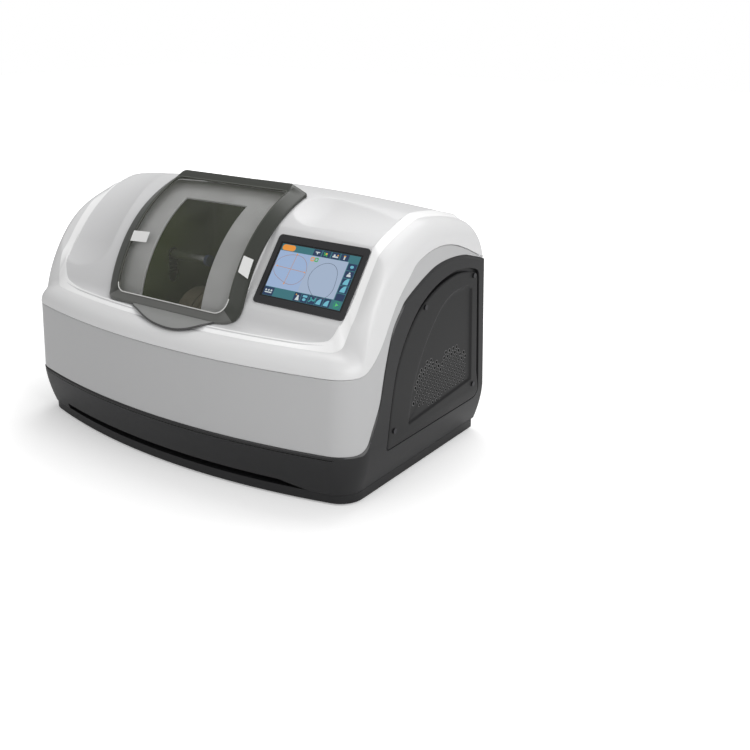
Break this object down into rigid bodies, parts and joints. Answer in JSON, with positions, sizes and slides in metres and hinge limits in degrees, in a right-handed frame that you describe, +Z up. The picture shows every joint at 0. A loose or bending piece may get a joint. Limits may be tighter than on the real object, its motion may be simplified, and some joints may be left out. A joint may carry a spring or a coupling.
{
  "type": "optical lens edger",
  "caption": "Table-top lens edger: curved white casing, smoked hinged hood over the wet grinding chamber, tilted touch display, vented black sides and a swinging lens carriage inside",
  "frame": {"origin": "on the table, under the middle of the machine's overall box, hose spigots included", "axes": "+Z up, -Y towards the operator (hood and display side), +X to the operator's right"},
  "size_m": [0.5828, 0.3911, 0.3532],
  "materials": {
    "white_shell": "satin",
    "grey_band": "satin",
    "black_case": "matt, fine grained",
    "smoked_window": "polished",
    "hood_frame": "gloss",
    "grip_lip": "satin",
    "bezel": "gloss",
    "screen": "polished",
    "liner": "satin",
    "feet": "matt",
    "screws": "zinc plated",
    "steel": "ground",
    "sheet_steel": "powder coated",
    "aluminium": "machined",
    "abrasive": "sintered bond with diamond grit",
    "belt": "matt",
    "motor_paint": "satin",
    "pads": "matt",
    "drain": "ribbed",
    "lamp": "diffusing",
    "board": "satin",
    "power_box": "plated",
    "fan": "matt",
    "rocker": "gloss",
    "spigot": "satin"
  },
  "bodies": {
    "housing": {"top_shell": "white_shell", "front_fascia": "grey_band", "base_housing": "black_case", "plinth": "black_case", "side_cover_left": "black_case", "side_cover_right": "black_case", "rubber_feet": "feet", "case_screws": "screws", "rear_panel": "sheet_steel", "display_bezel": "bezel", "display_glass": "screen", "display_housing": "bezel", "hood_hinges": "steel", "chamber_liner": "liner", "chamber_frame": "sheet_steel", "chamber_lamp": "lamp", "spray_nozzle": "steel", "drain_pipe": "drain", "feeler_bracket": "aluminium", "chassis_plate": "aluminium", "spindle_housing": "aluminium", "spindle_bearings": "steel", "drive_belt": "belt", "grinding_motor": "motor_paint", "guide_rails": "steel", "rail_brackets": "aluminium", "traverse_motor": "motor_paint", "power_supply": "power_box", "main_board": "board", "fan_frame": "fan", "power_inlet": "rocker", "power_switch": "rocker", "water_inlet": "spigot", "drain_outlet": "drain"},
    "hood": {"hood_window": "smoked_window", "hood_frame": "hood_frame", "hood_grip": "grip_lip"},
    "spindle": {"spindle_shaft": "steel", "roughing_wheel": "abrasive", "finishing_wheel": "abrasive", "polishing_wheel": "abrasive", "wheel_nut": "steel", "spindle_pulley": "aluminium"},
    "motor_rotor": {"motor_shaft": "steel", "motor_pulley": "aluminium"},
    "screw": {"lead_screw": "steel"},
    "carriage": {"carriage_base": "aluminium", "lift_motor": "motor_paint", "arm_pivot": "steel"},
    "arm": {"swing_arm": "aluminium", "lens_drive_motor": "motor_paint", "clamp_motor": "motor_paint"},
    "left_chuck": {"left_lens_shaft": "steel", "left_lens_pad": "pads"},
    "quill": {"clamp_quill": "steel"},
    "right_chuck": {"right_lens_shaft": "steel", "right_lens_pad": "pads"},
    "feeler": {"feeler_arm": "steel"},
    "rotor": {"fan_rotor": "fan"},
    "rocker": {"power_rocker": "rocker"}
  },
  "joints": [
    {"name": "hood_hinge", "type": "hinge", "parent": "housing", "child": "hood", "pos_m": [0, 0.0185, 0.349], "axis": [-1, 0, 0], "range_deg": [0, 75]},
    {"name": "spindle_spin", "type": "hinge", "parent": "housing", "child": "spindle", "pos_m": [0, -0.0445, 0.155], "axis": [1, 0, 0], "continuous": true},
    {"name": "motor_spin", "type": "hinge", "parent": "housing", "child": "motor_rotor", "pos_m": [0, 0.0555, 0.078], "axis": [1, 0, 0], "continuous": true},
    {"name": "carriage_slide", "type": "slide", "parent": "housing", "child": "carriage", "axis": [1, 0, 0], "range_m": [-0.024, 0.024]},
    {"name": "screw_turn", "type": "hinge", "parent": "housing", "child": "screw", "pos_m": [0, 0.0955, 0.15], "axis": [1, 0, 0], "range_deg": [-870, 870]},
    {"name": "arm_swing", "type": "hinge", "parent": "carriage", "child": "arm", "pos_m": [0, 0.0905, 0.225], "axis": [1, 0, 0], "range_deg": [0, 13]},
    {"name": "lens_turn", "type": "hinge", "parent": "arm", "child": "left_chuck", "pos_m": [0, -0.0445, 0.245], "axis": [1, 0, 0], "continuous": true},
    {"name": "clamp_slide", "type": "slide", "parent": "arm", "child": "quill", "axis": [-1, 0, 0], "range_m": [0, 0.03]},
    {"name": "clamp_turn", "type": "hinge", "parent": "quill", "child": "right_chuck", "pos_m": [0, -0.0445, 0.245], "axis": [1, 0, 0], "continuous": true},
    {"name": "feeler_swing", "type": "hinge", "parent": "housing", "child": "feeler", "pos_m": [-0.028, 0.0255, 0.268], "axis": [1, 0, 0], "range_deg": [0, 75]},
    {"name": "fan_spin", "type": "hinge", "parent": "housing", "child": "rotor", "pos_m": [0.15, 0.16234, 0.12], "axis": [0, 0.999, 0.045], "continuous": true},
    {"name": "rocker_tilt", "type": "hinge", "parent": "housing", "child": "rocker", "pos_m": [-0.19, 0.15924, 0.09982], "axis": [1, 0, 0], "range_deg": [0, 8]}
  ],
  "couplings": [
    {"joint": "motor_spin", "follows": "spindle_spin", "ratio": 1.4118},
    {"joint": "screw_turn", "follows": "carriage_slide", "rad_per_m": 628.32},
    {"joint": "clamp_turn", "follows": "lens_turn", "ratio": 1}
  ]
}
